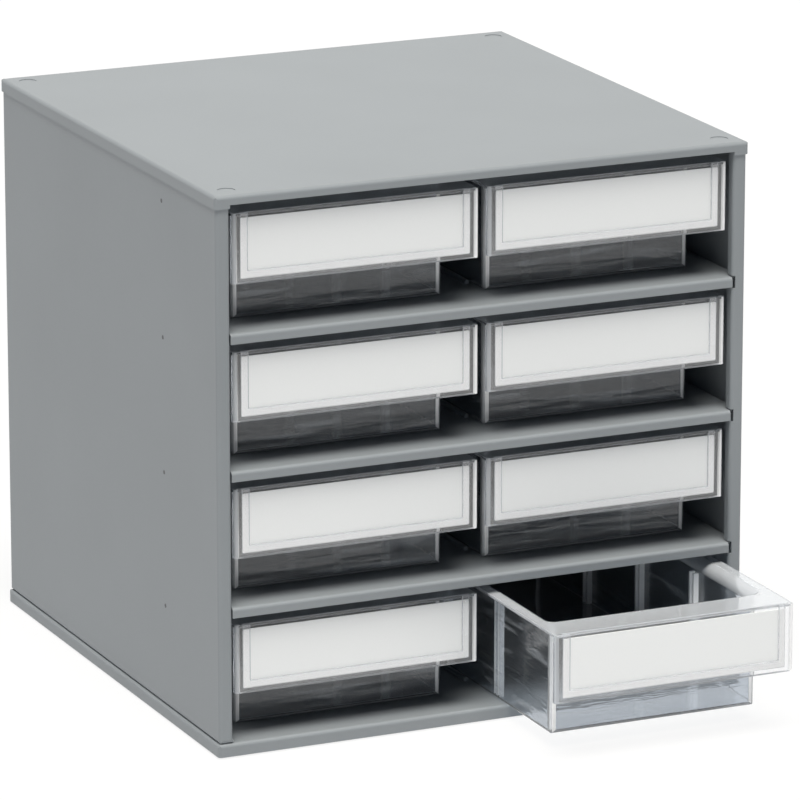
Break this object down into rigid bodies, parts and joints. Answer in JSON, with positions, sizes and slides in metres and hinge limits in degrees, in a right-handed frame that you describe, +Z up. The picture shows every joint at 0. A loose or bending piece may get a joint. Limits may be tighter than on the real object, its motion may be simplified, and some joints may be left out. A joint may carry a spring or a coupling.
{
  "type": "parts bin cabinet",
  "caption": "Low cubic steel parts cabinet with shelves of clear pull-out plastic drawers, each with a hooded label front, and feet that stack in dimples in the top.",
  "frame": {"origin": "midway between the four feet, in the plane that the feet stand on", "axes": "+Z up; +X to the right seen from the front; the drawers pull out along -Y, so the back is +Y"},
  "size_m": [0.4, 0.505, 0.395],
  "materials": {
    "case_paint": "satin grey powder coat",
    "clear_plastic": "clear polished plastic, faintly blue",
    "label_card": "matt white card",
    "pin_steel": "dull steel",
    "foot_rubber": "black moulded rubber"
  },
  "bodies": {
    "cabinet": {"top_cover": "case_paint", "base_pan": "case_paint", "left_side": "case_paint", "right_side": "case_paint", "back_panel": "case_paint", "upper_shelf": "case_paint", "middle_shelf": "case_paint", "lower_shelf": "case_paint", "left_stop_pins": "pin_steel", "right_stop_pins": "pin_steel", "feet": "foot_rubber"},
    "bin_left_1": {"drawer_left_1": "clear_plastic", "card_left_1": "label_card"},
    "bin_left_2": {"drawer_left_2": "clear_plastic", "card_left_2": "label_card"},
    "bin_left_3": {"drawer_left_3": "clear_plastic", "card_left_3": "label_card"},
    "bin_left_4": {"drawer_left_4": "clear_plastic", "card_left_4": "label_card"},
    "bin_right_1": {"drawer_right_1": "clear_plastic", "card_right_1": "label_card"},
    "bin_right_2": {"drawer_right_2": "clear_plastic", "card_right_2": "label_card"},
    "bin_right_3": {"drawer_right_3": "clear_plastic", "card_right_3": "label_card"},
    "bin_right_4": {"drawer_right_4": "clear_plastic", "card_right_4": "label_card"}
  },
  "joints": [
    {"name": "bin_left_1_slide", "type": "slide", "parent": "cabinet", "child": "bin_left_1", "axis": [0, -1, 0], "range_m": [0, 0.271]},
    {"name": "bin_left_2_slide", "type": "slide", "parent": "cabinet", "child": "bin_left_2", "axis": [0, -1, 0], "range_m": [0, 0.271]},
    {"name": "bin_left_3_slide", "type": "slide", "parent": "cabinet", "child": "bin_left_3", "axis": [0, -1, 0], "range_m": [0, 0.271]},
    {"name": "bin_left_4_slide", "type": "slide", "parent": "cabinet", "child": "bin_left_4", "axis": [0, -1, 0], "range_m": [0, 0.271]},
    {"name": "bin_right_1_slide", "type": "slide", "parent": "cabinet", "child": "bin_right_1", "axis": [0, -1, 0], "range_m": [0, 0.271]},
    {"name": "bin_right_2_slide", "type": "slide", "parent": "cabinet", "child": "bin_right_2", "axis": [0, -1, 0], "range_m": [0, 0.271]},
    {"name": "bin_right_3_slide", "type": "slide", "parent": "cabinet", "child": "bin_right_3", "axis": [0, -1, 0], "range_m": [0, 0.271]},
    {"name": "bin_right_4_slide", "type": "slide", "parent": "cabinet", "child": "bin_right_4", "axis": [0, -1, 0], "range_m": [-0.11, 0.161]}
  ]
}
